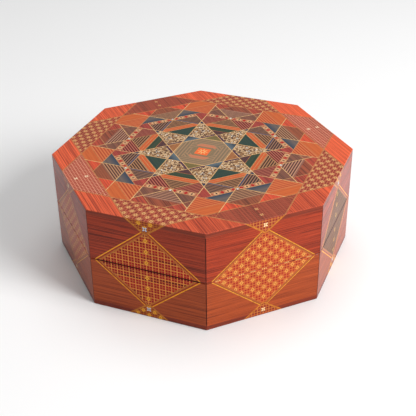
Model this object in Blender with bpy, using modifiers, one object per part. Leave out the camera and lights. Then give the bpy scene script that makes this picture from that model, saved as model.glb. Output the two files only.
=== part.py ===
"""Octagonal keepsake box: a lift-off lid on a base, each a ring of eight mitred boards with one flat board.

The box is hollow. Each board of the base carries a thin lip along its inner side, which stands up into a
rebate along the lid's boards, so that the lid lifts straight off and finds its place again. The outside is
flush: the flat boards cover the ends of the rims, and their edges line up with the rims' faces.

Units are metres and +Z is up. The origin is in the middle of the underside. Board 1 of each rim faces -Y,
and the others follow anticlockwise seen from above.
"""

import math

import bmesh
import bpy
from mathutils import Vector

# Driving dimensions of the outside
SIDES = 8
SIDE_LENGTH = 0.100
LID_HEIGHT = 0.0456
BASE_HEIGHT = 0.0456
SEAM_GAP = 0.0003

# Boards
WALL_THICKNESS = 0.008
TOP_BOARD_THICKNESS = 0.0043
BOTTOM_BOARD_THICKNESS = 0.0043
GLUE_LINE = 0.0003
ARRIS = 0.0004
ARRIS_SEGMENTS = 2

# Lip of the base and rebate of the lid
LIP_HEIGHT = 0.0060
LIP_THICKNESS = 0.0035
LIP_SIDE_CLEARANCE = 0.0005
LIP_TOP_CLEARANCE = 0.0010

# Worked out from the driving dimensions
TURN = 2 * math.pi / SIDES
APOTHEM = SIDE_LENGTH / (2 * math.tan(TURN / 2))
CORNER_RADIUS = SIDE_LENGTH / (2 * math.sin(TURN / 2))
LID_BOTTOM = BASE_HEIGHT + SEAM_GAP
LID_TOP = LID_BOTTOM + LID_HEIGHT

# How far a cutter runs past the board that it cuts
CUTTER_OVERRUN = 0.010

# Finishes: colour, roughness and metallic value
FINISHES = {
    "lid_inlay": ((0.42, 0.13, 0.06), 0.25, 0.0),
    "side_inlay": ((0.30, 0.07, 0.03), 0.25, 0.0),
    "base_board": ((0.16, 0.05, 0.03), 0.45, 0.0),
}


def clear_scene():
    """Removes every object that the scene starts with."""
    for obj in list(bpy.data.objects):
        bpy.data.objects.remove(obj, do_unlink=True)


def add_collection(name):
    """Makes a collection and links it to the scene."""
    collection = bpy.data.collections.new(name)
    bpy.context.scene.collection.children.link(collection)
    return collection


def add_material(name):
    """Makes a plain lacquered finish from the table of finishes."""
    colour, roughness, metallic = FINISHES[name]
    material = bpy.data.materials.new(name)
    material.use_nodes = True
    shader = material.node_tree.nodes["Principled BSDF"]
    shader.inputs["Base Color"].default_value = (*colour, 1.0)
    shader.inputs["Roughness"].default_value = roughness
    shader.inputs["Metallic"].default_value = metallic
    return material


def add_object(name, bm, collection, material=None):
    """Turns a bmesh into a named object in a collection."""
    bmesh.ops.recalc_face_normals(bm, faces=bm.faces)
    mesh = bpy.data.meshes.new(name)
    bm.to_mesh(mesh)
    bm.free()
    if material:
        mesh.materials.append(material)
    obj = bpy.data.objects.new(name, mesh)
    collection.objects.link(obj)
    return obj


def block(length, y_low, y_high, z_low, z_high):
    """A box of the given length, centred on X, between two planes each in Y and Z."""
    bm = bmesh.new()
    bmesh.ops.create_cube(bm, size=1.0)
    bmesh.ops.scale(bm, vec=(length, y_high - y_low, z_high - z_low), verts=bm.verts)
    middle = Vector((0.0, (y_low + y_high) / 2, (z_low + z_high) / 2))
    bmesh.ops.translate(bm, vec=middle, verts=bm.verts)
    return bm


def cut_mitres(bm):
    """Cuts both ends of a board along the planes through the box's corners, less half a glue line."""
    for end in (-1, 1):
        outward = Vector((end * math.cos(TURN / 2), math.sin(TURN / 2), 0.0))
        corner = Vector((end * SIDE_LENGTH / 2, 0.0, 0.0))
        cut = bmesh.ops.bisect_plane(
            bm,
            geom=bm.verts[:] + bm.edges[:] + bm.faces[:],
            plane_co=corner - outward * GLUE_LINE / 2,
            plane_no=outward,
            clear_outer=True,
        )
        rim = [item for item in cut["geom_cut"] if isinstance(item, bmesh.types.BMEdge)]
        bmesh.ops.edgeloop_fill(bm, edges=rim)


def stand_on_side(obj, number, height, parent):
    """Places a board made against the plane y = 0 on a side of the octagon, its foot at a height."""
    angle = number * TURN
    obj.rotation_euler = (0.0, 0.0, angle)
    obj.location = (APOTHEM * math.sin(angle), -APOTHEM * math.cos(angle), height)
    obj.parent = parent


def ease_edges(obj):
    """Takes the sharp arris off a board's edges."""
    bevel = obj.modifiers.new("eased edges", "BEVEL")
    bevel.width = ARRIS
    bevel.segments = ARRIS_SEGMENTS
    bevel.limit_method = "ANGLE"
    bevel.angle_limit = math.radians(20)


def rim_board(name, number, foot, height, cutter_box, parts, cutters, parent, material):
    """One mitred board of a rim, with a strip cut out of it along its whole length."""
    bm = block(SIDE_LENGTH + 2 * CUTTER_OVERRUN, 0.0, WALL_THICKNESS, 0.0, height)
    cut_mitres(bm)
    board = add_object(name, bm, parts, material)
    stand_on_side(board, number, foot, parent)
    cutter = add_object(name + "_cutter", block(SIDE_LENGTH + 4 * CUTTER_OVERRUN, *cutter_box), cutters)
    cutter.hide_render = True
    cutter.display_type = "WIRE"
    stand_on_side(cutter, number, foot, parent)
    strip = board.modifiers.new("strip", "BOOLEAN")
    strip.operation = "DIFFERENCE"
    strip.solver = "EXACT"
    strip.object = cutter
    ease_edges(board)


def add_base_walls(parts, cutters, parent, material):
    """The base's rim: above the seam only the inner lip of each board is left."""
    foot = BOTTOM_BOARD_THICKNESS + GLUE_LINE
    lip_top = BASE_HEIGHT + LIP_HEIGHT
    outer_strip = (
        -CUTTER_OVERRUN,
        WALL_THICKNESS - LIP_THICKNESS,
        BASE_HEIGHT - foot,
        lip_top - foot + CUTTER_OVERRUN,
    )
    for number in range(SIDES):
        name = f"base_wall_{number + 1}"
        rim_board(name, number, foot, lip_top - foot, outer_strip, parts, cutters, parent, material)


def add_lid_walls(parts, cutters, parent, material):
    """The lid's rim: each board is rebated inside its lower edge to take the base's lip."""
    height = LID_TOP - TOP_BOARD_THICKNESS - GLUE_LINE - LID_BOTTOM
    rebate = (
        WALL_THICKNESS - LIP_THICKNESS - LIP_SIDE_CLEARANCE,
        WALL_THICKNESS + CUTTER_OVERRUN,
        -CUTTER_OVERRUN,
        BASE_HEIGHT + LIP_HEIGHT + LIP_TOP_CLEARANCE - LID_BOTTOM,
    )
    for number in range(SIDES):
        name = f"lid_wall_{number + 1}"
        rim_board(name, number, LID_BOTTOM, height, rebate, parts, cutters, parent, material)


def add_flat_board(name, z_low, thickness, parts, parent, material):
    """An octagonal board as wide as the rim, with its sides square to the axes."""
    bm = bmesh.new()
    bmesh.ops.create_cone(
        bm, cap_ends=True, segments=SIDES, radius1=CORNER_RADIUS, radius2=CORNER_RADIUS, depth=thickness
    )
    board = add_object(name, bm, parts, material)
    board.rotation_euler = (0.0, 0.0, TURN / 2)
    board.location = (0.0, 0.0, z_low + thickness / 2)
    board.parent = parent
    ease_edges(board)


def main():
    """Builds the box with its lid on."""
    clear_scene()
    parts = add_collection("octagonal_keepsake_box")
    cutters = add_collection("cutters")
    box = bpy.data.objects.new("keepsake_box", None)
    parts.objects.link(box)
    side_inlay = add_material("side_inlay")
    lid_inlay = add_material("lid_inlay")
    base_board = add_material("base_board")
    add_flat_board("base_panel", 0.0, BOTTOM_BOARD_THICKNESS, parts, box, base_board)
    add_base_walls(parts, cutters, box, side_inlay)
    add_lid_walls(parts, cutters, box, side_inlay)
    top = LID_TOP - TOP_BOARD_THICKNESS
    add_flat_board("lid_panel", top, TOP_BOARD_THICKNESS, parts, box, lid_inlay)


main()
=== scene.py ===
"""Looks of the octagonal keepsake box: straight-line marquetry under lacquer, on a lid and a base of boards.

The inlay is veneer, flush with the boards. Its straight joints are cut into the boards' faces, so each tile
and each gold line is a face of its own with its own finish. The lid's design is the same in all eight
corners, so a single wedge of the lid is modelled and mirrored round. Units are metres, and +Z is up.
"""

import logging
import math
from collections.abc import Callable, Iterable
from dataclasses import dataclass, field, replace
from enum import Enum

import bmesh
import bpy
from mathutils import Matrix, Vector

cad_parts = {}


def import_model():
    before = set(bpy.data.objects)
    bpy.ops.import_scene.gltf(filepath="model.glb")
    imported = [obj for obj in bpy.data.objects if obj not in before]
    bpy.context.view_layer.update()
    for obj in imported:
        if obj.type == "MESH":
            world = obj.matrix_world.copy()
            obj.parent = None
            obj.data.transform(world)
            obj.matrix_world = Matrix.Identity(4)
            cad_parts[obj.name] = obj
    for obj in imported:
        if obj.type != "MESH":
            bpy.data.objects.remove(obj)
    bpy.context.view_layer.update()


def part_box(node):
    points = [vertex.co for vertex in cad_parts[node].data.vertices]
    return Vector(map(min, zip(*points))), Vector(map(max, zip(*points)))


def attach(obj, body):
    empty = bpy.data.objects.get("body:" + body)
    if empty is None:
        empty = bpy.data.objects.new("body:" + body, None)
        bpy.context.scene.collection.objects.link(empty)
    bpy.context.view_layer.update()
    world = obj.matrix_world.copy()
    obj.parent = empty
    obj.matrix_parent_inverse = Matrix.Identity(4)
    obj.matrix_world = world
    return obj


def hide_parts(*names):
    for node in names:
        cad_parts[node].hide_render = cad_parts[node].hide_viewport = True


LOG = logging.getLogger("keepsake_box")

MM = 0.001
DIAGONAL = math.sqrt(0.5)
SIDES = 8
TURN = 2 * math.pi / SIDES
INLAY_MAP = "Inlay"
GRAIN_MAP = "Grain"
BAKE_MAP = "OFBake"
# How much of a face's normal points one way: nearly all of it, or some of it.
SQUARE_ON = 0.9
TURNED_OUT = 0.1

Colour = tuple[float, float, float, float]
Value = float | bpy.types.NodeSocket


def tone(red: int, green: int, blue: int) -> Colour:
    """Turns a colour as a paint chart gives it, 0 to 255, into the shader's linear values.

    Args:
        red: red, 0 to 255.
        green: green, 0 to 255.
        blue: blue, 0 to 255.

    Returns:
        The linear colour with full opacity.
    """
    channels = []
    for channel in (red, green, blue):
        share = channel / 255
        channels.append(share / 12.92 if share <= 0.04045 else ((share + 0.055) / 1.055) ** 2.4)
    return (*channels, 1.0)


# Shader wiring


class Wiring:
    """Adds nodes to one node tree and joins them, one call for each node."""

    def __init__(self, tree: bpy.types.NodeTree) -> None:
        """Takes the tree that the nodes go into."""
        self.tree = tree

    def feed(self, socket: bpy.types.NodeSocket, value: object) -> None:
        """Joins a value to an input: a node's output as a link, anything else as the socket's own value."""
        if isinstance(value, bpy.types.NodeSocket):
            self.tree.links.new(value, socket)
        else:
            socket.default_value = value

    def add(self, kind: str, inputs: dict | None = None, **settings: object) -> bpy.types.Node:
        """Adds a node.

        Args:
            kind: the node's type name.
            inputs: values or outputs for its inputs, by name or number.
            settings: the node's own properties.

        Returns:
            The new node.
        """
        node = self.tree.nodes.new(kind)
        for name, value in settings.items():
            setattr(node, name, value)
        for name, value in (inputs or {}).items():
            self.feed(node.inputs[name], value)
        return node

    def math(self, operation: str, *values: Value, clamp: bool = False) -> bpy.types.NodeSocket:
        """Adds a Math node and returns its output."""
        node = self.add("ShaderNodeMath", dict(enumerate(values)), operation=operation, use_clamp=clamp)
        return node.outputs[0]

    def split(self, vector: bpy.types.NodeSocket) -> tuple[bpy.types.NodeSocket, ...]:
        """Returns a vector's x, y and z as three outputs."""
        return tuple(self.add("ShaderNodeSeparateXYZ", {0: vector}).outputs)

    def join(self, x: Value, y: Value, z: Value = 0.0) -> bpy.types.NodeSocket:
        """Returns a vector made of three values."""
        return self.add("ShaderNodeCombineXYZ", {0: x, 1: y, 2: z}).outputs[0]

    def step(self, value: Value, edge: Value, softness: float) -> bpy.types.NodeSocket:
        """Returns 1 below an edge and 0 above it, with a soft change between."""
        past = self.math("SUBTRACT", value, edge)
        node = self.add(
            "ShaderNodeMapRange", {"Value": past, 1: -softness, 2: softness, 3: 1.0, 4: 0.0}, clamp=True
        )
        return node.outputs[0]

    def remap(self, value: Value, low: float, high: float) -> bpy.types.NodeSocket:
        """Returns 0 below a range and 1 above it, with an even rise between."""
        node = self.add("ShaderNodeMapRange", {"Value": value, 1: low, 2: high, 3: 0.0, 4: 1.0}, clamp=True)
        return node.outputs[0]

    def noise(self, vector: bpy.types.NodeSocket, scale: Value, detail: float = 2.0) -> bpy.types.NodeSocket:
        """Returns a noise texture's value at a vector."""
        node = self.add("ShaderNodeTexNoise", {"Vector": vector, "Scale": scale, "Detail": detail})
        return node.outputs["Fac"]

    def mix(self, share: Value, first: object, second: object) -> bpy.types.NodeSocket:
        """Returns a colour between two colours."""
        node = self.add("ShaderNodeMix", {0: share, 6: first, 7: second}, data_type="RGBA")
        return node.outputs[2]

    def call(self, group: bpy.types.NodeTree, **inputs: object) -> dict[str, bpy.types.NodeSocket]:
        """Places a node group.

        Args:
            group: the group's tree.
            inputs: its inputs by name, with an underscore for each space.

        Returns:
            Its outputs by name.
        """
        node = self.add("ShaderNodeGroup", node_tree=group)
        for name, value in inputs.items():
            self.feed(node.inputs[name.replace("_", " ")], value)
        return {output.name: output for output in node.outputs}


class Effects:
    """Node groups that several finishes share, each built when it is first asked for."""

    SOFT_EDGE = 0.05 * MM

    def __init__(self) -> None:
        """Starts with no group built."""
        self.built: dict[str, bpy.types.NodeTree] = {}

    def _group(
        self,
        name: str,
        inputs: dict[str, str],
        outputs: Iterable[str],
        wire: Callable[[Wiring, dict], dict],
    ) -> bpy.types.NodeTree:
        """Builds a group once.

        Args:
            name: the group's name.
            inputs: its inputs, each with "Vector" or "Float".
            outputs: the names of its outputs, all of them single values.
            wire: fills the group and returns its outputs by name.

        Returns:
            The group's tree.
        """
        if name in self.built:
            return self.built[name]
        tree = bpy.data.node_groups.new(name, "ShaderNodeTree")
        for title, kind in inputs.items():
            tree.interface.new_socket(title, in_out="INPUT", socket_type="NodeSocket" + kind)
        for title in outputs:
            tree.interface.new_socket(title, in_out="OUTPUT", socket_type="NodeSocketFloat")
        wiring = Wiring(tree)
        entry = wiring.add("NodeGroupInput")
        leave = wiring.add("NodeGroupOutput")
        found = wire(wiring, {socket.name: socket for socket in entry.outputs if socket.name})
        for title, socket in found.items():
            wiring.feed(leave.inputs[title], socket)
        self.built[name] = tree
        return tree

    def grain(self) -> bpy.types.NodeTree:
        """Wood grain that runs along X: dark figure in long streaks, and fine fibres over it."""

        def wire(w: Wiring, given: dict) -> dict:
            x, y, z = w.split(given["Vector"])
            wander = w.math("MULTIPLY", w.noise(given["Vector"], 7.0, 1.0), given["Wander"])
            across = w.math("ADD", y, wander)
            along = w.math("MULTIPLY", x, given["Stretch"])
            stretched = w.join(along, across, w.math("MULTIPLY", z, given["Stretch"]))
            lines = w.remap(w.noise(stretched, given["Streaks"], 2.0), 0.46, 0.60)
            broad = w.remap(w.noise(stretched, w.math("MULTIPLY", given["Streaks"], 0.16), 1.0), 0.34, 0.66)
            figure = w.math("MULTIPLY_ADD", lines, 0.68, w.math("MULTIPLY", broad, 0.32))
            finer = w.join(w.math("MULTIPLY", along, 2.0), across, z)
            fibre = w.remap(w.noise(finer, w.math("MULTIPLY", given["Streaks"], 4.0), 2.0), 0.30, 0.70)
            height = w.math("ADD", w.math("MULTIPLY", fibre, 0.6), w.math("MULTIPLY", figure, 0.4))
            return {"Figure": figure, "Fibre": fibre, "Height": height}

        sockets = {"Vector": "Vector", "Streaks": "Float", "Stretch": "Float", "Wander": "Float"}
        return self._group("Wood grain", sockets, ("Figure", "Fibre", "Height"), wire)

    def lines(self) -> bpy.types.NodeTree:
        """Parallel lines a pitch apart, with one of them on zero."""

        def wire(w: Wiring, given: dict) -> dict:
            half = w.math("MULTIPLY", given["Pitch"], 0.5)
            away = w.math("PINGPONG", given["Across"], half)
            mask = w.step(away, w.math("MULTIPLY", given["Width"], 0.5), self.SOFT_EDGE)
            return {"Mask": mask}

        return self._group("Lines", {"Across": "Float", "Pitch": "Float", "Width": "Float"}, ("Mask",), wire)

    def lattice(self) -> bpy.types.NodeTree:
        """Lines both ways, each with its own pitch, and apart from them every second line."""

        def wire(w: Wiring, given: dict) -> dict:
            x, y, _ = w.split(given["Vector"])
            found = {}
            for title, factor in (("All", 1.0), ("Main", 2.0)):
                runs = []
                for way, pitch in ((x, given["Wide"]), (y, given["High"])):
                    wider = w.math("MULTIPLY", pitch, factor)
                    runs.append(w.call(self.lines(), Across=way, Pitch=wider, Width=given["Width"])["Mask"])
                found[title] = w.math("MAXIMUM", *runs)
            return found

        sockets = {"Vector": "Vector", "Wide": "Float", "High": "Float", "Width": "Float"}
        return self._group("Lattice", sockets, ("All", "Main"), wire)

    def cells(self) -> bpy.types.NodeTree:
        """Cells in rows, each second row set off by half a cell: the place in a cell from its middle."""

        def wire(w: Wiring, given: dict) -> dict:
            x, y, _ = w.split(given["Vector"])
            row = w.math("FLOOR", w.math("DIVIDE", y, given["High"]))
            odd = w.math("FLOORED_MODULO", row, 2.0)
            column = w.math("ADD", w.math("DIVIDE", x, given["Wide"]), w.math("MULTIPLY", odd, 0.5))
            in_x = w.math("SUBTRACT", w.math("FRACT", column), 0.5)
            in_y = w.math("SUBTRACT", w.math("FRACT", w.math("DIVIDE", y, given["High"])), 0.5)
            return {
                "X": w.math("MULTIPLY", in_x, given["Wide"]),
                "Y": w.math("MULTIPLY", in_y, given["High"]),
            }

        sockets = {"Vector": "Vector", "Wide": "Float", "High": "Float"}
        return self._group("Cells", sockets, ("X", "Y"), wire)

    def flower(self) -> bpy.types.NodeTree:
        """A small inlaid flower round zero: its petals, and its eye. Turn moves the petals on, in radians."""

        def wire(w: Wiring, given: dict) -> dict:
            x, y = given["X"], given["Y"]
            squares = w.math("ADD", w.math("MULTIPLY", x, x), w.math("MULTIPLY", y, y))
            away = w.math("SQRT", squares)
            angle = w.math("MULTIPLY_ADD", w.math("ARCTAN2", y, x), given["Petals"], given["Turn"])
            lobes = w.math("MULTIPLY_ADD", w.math("COSINE", angle), 0.32, 0.68)
            reach = w.math("MULTIPLY", given["Radius"], lobes)
            return {
                "Petals": w.step(away, reach, 3 * self.SOFT_EDGE),
                "Eye": w.step(away, w.math("MULTIPLY", given["Radius"], 0.24), 3 * self.SOFT_EDGE),
            }

        sockets = {"X": "Float", "Y": "Float", "Radius": "Float", "Petals": "Float", "Turn": "Float"}
        return self._group("Flower", sockets, ("Petals", "Eye"), wire)

    def wear(self) -> bpy.types.NodeTree:
        """Old lacquer: hazy patches that are a little rougher, and a faint ripple."""

        def wire(w: Wiring, given: dict) -> dict:
            haze = w.remap(w.noise(given["Vector"], 24.0, 3.0), 0.40, 0.70)
            specks = w.remap(w.noise(given["Vector"], 900.0, 1.0), 0.62, 0.72)
            rough = w.math("ADD", w.math("MULTIPLY", haze, 0.10), w.math("MULTIPLY", specks, 0.12))
            return {
                "Roughness": w.math("ADD", given["Roughness"], rough, clamp=True),
                "Ripple": w.noise(given["Vector"], 130.0, 2.0),
            }

        sockets = {"Vector": "Vector", "Roughness": "Float"}
        return self._group("Lacquer wear", sockets, ("Roughness", "Ripple"), wire)


EFFECTS = Effects()


# Finishes


class Run(Enum):
    """Which coordinates a veneer's grain follows."""

    ACROSS_LID = "one way over the whole lid"
    INLAY = "along the tile"
    BOARD = "along the board"


@dataclass(frozen=True)
class Finish:
    """A lacquered surface. Each kind of finish adds its own colours over this."""

    name: str
    roughness: float = 0.38
    coat: float = 0.5
    coat_roughness: float = 0.10
    relief: float = 0.10
    SPECULAR = 0.05
    COAT_IOR = 1.3
    BUMP_DEPTH = 0.15 * MM
    RIPPLE = 0.5

    def material(self) -> bpy.types.Material:
        """Returns the finish's material, made once for each name."""
        found = bpy.data.materials.get(self.name)
        if found:
            return found
        material = bpy.data.materials.new(self.name)
        material.use_nodes = True
        wiring = Wiring(material.node_tree)
        shader = material.node_tree.nodes["Principled BSDF"]
        place = wiring.add("ShaderNodeTexCoord").outputs["Object"]
        wear = wiring.call(EFFECTS.wear(), Vector=place, Roughness=self.roughness)
        colour, height = self.paint(wiring)
        wiring.feed(shader.inputs["Base Color"], colour)
        wiring.feed(shader.inputs["Roughness"], wear["Roughness"])
        shader.inputs["Specular IOR Level"].default_value = self.SPECULAR
        shader.inputs["Coat Weight"].default_value = self.coat
        shader.inputs["Coat Roughness"].default_value = self.coat_roughness
        shader.inputs["Coat IOR"].default_value = self.COAT_IOR
        rippled = wiring.math("MULTIPLY_ADD", wear["Ripple"], self.RIPPLE, height)
        inputs = {"Strength": self.relief, "Distance": self.BUMP_DEPTH, "Height": rippled}
        bump = wiring.add("ShaderNodeBump", inputs)
        wiring.feed(shader.inputs["Normal"], bump.outputs[0])
        return material

    def paint(self, w: Wiring) -> tuple[bpy.types.NodeSocket, Value]:
        """Adds the nodes of this finish's own colours.

        Args:
            w: the wiring of the material's tree.

        Returns:
            The colour, and the surface's height.
        """
        raise NotImplementedError


def grain_place(w: Wiring, run: Run) -> bpy.types.NodeSocket:
    """Returns coordinates whose X runs along the grain."""
    if run is Run.ACROSS_LID:
        place = w.add("ShaderNodeTexCoord").outputs["Object"]
        turned = w.add("ShaderNodeMapping", {"Vector": place, "Rotation": (0.0, 0.0, math.radians(45))})
        return turned.outputs[0]
    return w.add("ShaderNodeUVMap", uv_map=INLAY_MAP if run is Run.INLAY else GRAIN_MAP).outputs[0]


@dataclass(frozen=True)
class Veneer(Finish):
    """A plain sheet of wood veneer with its grain."""

    light: Colour = tone(200, 120, 70)
    dark: Colour = tone(120, 60, 40)
    run: Run = Run.INLAY
    streaks: float = 520.0
    stretch: float = 0.03
    wander: float = 0.001
    contrast: float = 0.8

    def wood(self, w: Wiring) -> tuple[bpy.types.NodeSocket, Value]:
        """Adds the veneer's own grain and returns its colour and height."""
        place = grain_place(w, self.run)
        grain = w.call(
            EFFECTS.grain(), Vector=place, Streaks=self.streaks, Stretch=self.stretch, Wander=self.wander
        )
        fine = w.math("MULTIPLY_ADD", grain["Fibre"], 0.35, w.math("MULTIPLY", grain["Figure"], 0.65))
        share = w.math("MULTIPLY", fine, self.contrast, clamp=True)
        return w.mix(share, self.light, self.dark), grain["Height"]

    def paint(self, w: Wiring) -> tuple[bpy.types.NodeSocket, Value]:
        """See Finish.paint."""
        return self.wood(w)


@dataclass(frozen=True)
class PlainGrain(Veneer):
    """Padauk laid with its grain one way over the whole lid: fine, straight dark lines."""

    run: Run = Run.ACROSS_LID
    streaks: float = 1400.0
    stretch: float = 0.006
    wander: float = 0.0004
    contrast: float = 1.0


@dataclass(frozen=True)
class PaintedSheenVeneer(PlainGrain):
    """The same for the lid's corners, with painted light over it: paler towards the back and where the grain runs
    off a corner, and darker towards the front and in the other two corners.
    """

    to_back: float = 1.6
    to_corners: float = 22.0
    paler: float = 0.05

    def paint(self, w: Wiring) -> tuple[bpy.types.NodeSocket, Value]:
        """See Finish.paint."""
        colour, height = self.wood(w)
        x, y, _ = w.split(w.add("ShaderNodeTexCoord").outputs["Object"])
        # Painted light: paler towards the back and in the two corners where x and y share a sign, darker towards
        # the front and in the other two.
        corners = w.math("MULTIPLY", w.math("MULTIPLY", x, y), self.to_corners)
        painted_light_drift = w.math("MULTIPLY_ADD", y, self.to_back, corners)
        lifted = w.mix(w.math("ADD", painted_light_drift, self.paler, clamp=True), colour, self.light)
        return w.mix(w.math("MULTIPLY", painted_light_drift, -1.0, clamp=True), lifted, self.dark), height


@dataclass(frozen=True)
class BoardGrain(Veneer):
    """Padauk with its grain along the board."""

    run: Run = Run.BOARD
    streaks: float = 1900.0
    stretch: float = 0.008
    wander: float = 0.0008
    contrast: float = 0.95


@dataclass(frozen=True)
class StripedVeneer(Veneer):
    """Veneer with pale and dark lines in turn, let in along the tile."""

    line: Colour = tone(220, 165, 100)
    shadow: Colour = tone(70, 45, 38)
    pitch: float = 2.3 * MM
    line_width: float = 0.8 * MM
    strength: float = 0.78

    def paint(self, w: Wiring) -> tuple[bpy.types.NodeSocket, Value]:
        """See Finish.paint."""
        colour, height = self.wood(w)
        across = w.split(w.add("ShaderNodeUVMap", uv_map=INLAY_MAP).outputs[0])[1]
        for start, let_in in ((0.0, self.line), (self.pitch / 2, self.shadow)):
            place = w.math("ADD", across, start)
            mask = w.call(EFFECTS.lines(), Across=place, Pitch=self.pitch, Width=self.line_width)["Mask"]
            colour = w.mix(w.math("MULTIPLY", mask, self.strength), colour, let_in)
        return colour, height


@dataclass(frozen=True)
class ScorchedVeneer(Veneer):
    """Veneer whose shade changes across the tile, from one distance of the design to another."""

    shaded: Colour = tone(40, 55, 90)
    clear_at: float = 0.0
    shaded_at: float = 10.0 * MM

    def paint(self, w: Wiring) -> tuple[bpy.types.NodeSocket, Value]:
        """See Finish.paint."""
        wood, height = self.wood(w)
        across = w.split(w.add("ShaderNodeUVMap", uv_map=INLAY_MAP).outputs[0])[1]
        share = w.remap(across, self.clear_at, self.shaded_at)
        return w.mix(share, wood, self.shaded), height


@dataclass(frozen=True)
class Stringing(Finish):
    """A thin line of pale wood with a golden stain."""

    colour: Colour = tone(232, 190, 120)
    shade: Colour = tone(190, 130, 70)
    patches: float = 420.0
    spread: tuple[float, float] = (0.35, 0.70)

    def paint(self, w: Wiring) -> tuple[bpy.types.NodeSocket, Value]:
        """See Finish.paint."""
        place = w.add("ShaderNodeTexCoord").outputs["Object"]
        patch = w.remap(w.noise(place, self.patches, 3.0), *self.spread)
        return w.mix(patch, self.colour, self.shade), patch


@dataclass(frozen=True)
class ShellMosaic(Finish):
    """Chips of shell, brass-coloured paste and dark wood, packed close."""

    pale: Colour = tone(214, 180, 138)
    golden: Colour = tone(146, 105, 69)
    dark: Colour = tone(76, 54, 46)
    pearl: Colour = tone(228, 222, 210)
    paste: Colour = tone(128, 94, 68)
    chips: float = 820.0
    squeeze: tuple[float, float, float] = (1.0, 0.8, 1.0)
    pale_share: float = 0.62
    dark_share: float = 0.20
    pearl_share: float = 0.07
    softness: float = 0.02
    joint_width: float = 0.05
    joint_softness: float = 0.03

    def paint(self, w: Wiring) -> tuple[bpy.types.NodeSocket, Value]:
        """See Finish.paint."""
        place = w.add("ShaderNodeUVMap", uv_map=INLAY_MAP).outputs[0]
        squeezed = w.add("ShaderNodeMapping", {"Vector": place, "Scale": self.squeeze}).outputs[0]
        inputs = {"Vector": squeezed, "Scale": self.chips}
        chip = w.add("ShaderNodeTexVoronoi", inputs)
        edge = w.add("ShaderNodeTexVoronoi", inputs, feature="DISTANCE_TO_EDGE")
        draw, other, _ = w.split(chip.outputs["Color"])
        rare = w.math("SUBTRACT", 1.0, other)
        colour = w.mix(w.step(draw, self.pale_share, self.softness), self.golden, self.pale)
        colour = w.mix(w.step(draw, self.dark_share, self.softness), colour, self.dark)
        colour = w.mix(w.step(rare, self.pearl_share, self.softness), colour, self.pearl)
        joint = w.step(edge.outputs["Distance"], self.joint_width, self.joint_softness)
        return w.mix(joint, colour, self.paste), w.math("SUBTRACT", 1.0, joint)


@dataclass(frozen=True)
class Ribbon(Finish):
    """A band of red lozenges and cream lenses with a dark heart, in turn."""

    middle: float = 70.5 * MM
    first: float = 3.4 * MM
    period: float = 10.1 * MM
    ground: Colour = tone(164, 98, 72)
    cream: Colour = tone(212, 162, 118)
    red: Colour = tone(172, 36, 34)
    dark: Colour = tone(54, 36, 34)
    lens: float = 2.7 * MM
    lens_slope: float = 0.75
    heart: float = 0.85 * MM
    heart_slope: float = 0.5
    lozenge: float = 1.75 * MM
    lozenge_slope: float = 0.7
    softness: float = 0.25 * MM

    def paint(self, w: Wiring) -> tuple[bpy.types.NodeSocket, Value]:
        """See Finish.paint."""
        along, across, _ = w.split(w.add("ShaderNodeUVMap", uv_map=INLAY_MAP).outputs[0])
        side = w.math("ABSOLUTE", w.math("SUBTRACT", across, self.middle))
        near = w.math("PINGPONG", w.math("SUBTRACT", along, self.first), self.period / 2)
        far = w.math("SUBTRACT", self.period / 2, near)
        shapes = (
            (self.cream, far, self.lens_slope, self.lens),
            (self.dark, far, self.heart_slope, self.heart),
            (self.red, near, self.lozenge_slope, self.lozenge),
        )
        patch = w.remap(w.noise(w.join(along, across), 900.0, 1.0), 0.40, 0.62)
        colour = w.mix(w.math("MULTIPLY", patch, 0.5), self.ground, self.cream)
        for tint, away, slope, edge in shapes:
            reach = w.math("MULTIPLY_ADD", side, slope, away)
            colour = w.mix(w.step(reach, edge, self.softness), colour, tint)
        return colour, patch


@dataclass(frozen=True)
class FlowerField(Veneer):
    """Flowers and blocks of four small squares, in turn along staggered rows, mirrored at the seam or not."""

    flower: Colour = tone(232, 185, 115)
    eye: Colour = tone(165, 70, 50)
    lattice: Colour = tone(185, 110, 80)
    line_width: float = 0.8 * MM
    wide: float = 10.0 * MM
    high: float = 4.87 * MM
    radius: float = 2.3 * MM
    petals: float = 8.0
    shift: tuple[float, float] = (0.0, 0.0)
    lattice_strength: float = 0.9
    mirrored: bool = False

    def paint(self, w: Wiring) -> tuple[bpy.types.NodeSocket, Value]:
        """See Finish.paint."""
        wood, height = self.wood(w)
        flat = w.add("ShaderNodeUVMap", uv_map=INLAY_MAP).outputs[0]
        if self.mirrored:
            along, up, _ = w.split(flat)
            flat = w.join(along, w.math("ABSOLUTE", up))
        place = w.add("ShaderNodeMapping", {"Vector": flat, "Location": (*self.shift, 0.0)}).outputs[0]
        lattice = w.call(
            EFFECTS.lattice(), Vector=place, Wide=self.wide / 4, High=self.high / 2, Width=self.line_width
        )
        colour = w.mix(w.math("MULTIPLY", lattice["All"], self.lattice_strength), wood, self.lattice)
        cell = w.call(EFFECTS.cells(), Vector=place, Wide=self.wide, High=self.high)
        flower = w.call(EFFECTS.flower(), X=cell["X"], Y=cell["Y"], Radius=self.radius, Petals=self.petals)
        return w.mix(flower["Eye"], w.mix(flower["Petals"], colour, self.flower), self.eye), height


@dataclass(frozen=True)
class AccentField(FlowerField):
    """The same, with one silver flower on the middle line."""

    silver: Colour = tone(190, 192, 204)
    heart: Colour = tone(110, 66, 56)
    accent_height: float = 38.4 * MM
    accent_radius: float = 2.4 * MM

    def paint(self, w: Wiring) -> tuple[bpy.types.NodeSocket, Value]:
        """See Finish.paint."""
        colour, height = super().paint(w)
        x, y, _ = w.split(w.add("ShaderNodeUVMap", uv_map=INLAY_MAP).outputs[0])
        up = w.math("SUBTRACT", w.math("ABSOLUTE", y), self.accent_height)
        flower = w.call(EFFECTS.flower(), X=x, Y=up, Radius=self.accent_radius, Petals=4.0, Turn=math.pi)
        return w.mix(flower["Petals"], colour, w.mix(flower["Eye"], self.silver, self.heart)), height


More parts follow.
